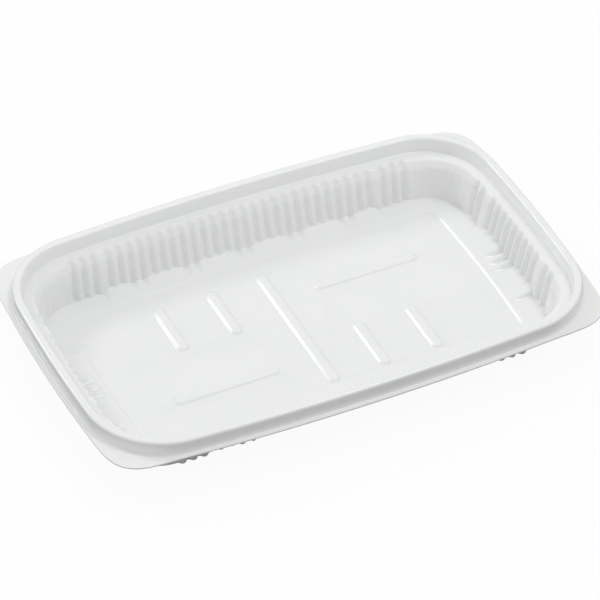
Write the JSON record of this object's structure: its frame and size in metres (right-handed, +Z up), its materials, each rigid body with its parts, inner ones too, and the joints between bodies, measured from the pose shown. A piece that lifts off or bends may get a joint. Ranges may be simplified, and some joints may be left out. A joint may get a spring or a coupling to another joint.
{
  "type": "deli food container tray",
  "caption": "Shallow rectangular takeaway tray formed from thin plastic sheet, with a rolled bead rim, corner tabs, fluted sloping walls and a ribbed floor.",
  "frame": {"origin": "middle of the floor panel's underside, on the surface the tray stands on", "axes": "+X along the tray, +Y across it, +Z up out of the open top"},
  "size_m": [0.2358, 0.1518, 0.0268],
  "materials": {
    "formed_sheet": "white thermoformed polypropylene sheet with a soft satin gloss"
  },
  "bodies": {
    "root": {"tray": "formed_sheet"}
  },
  "joints": []
}
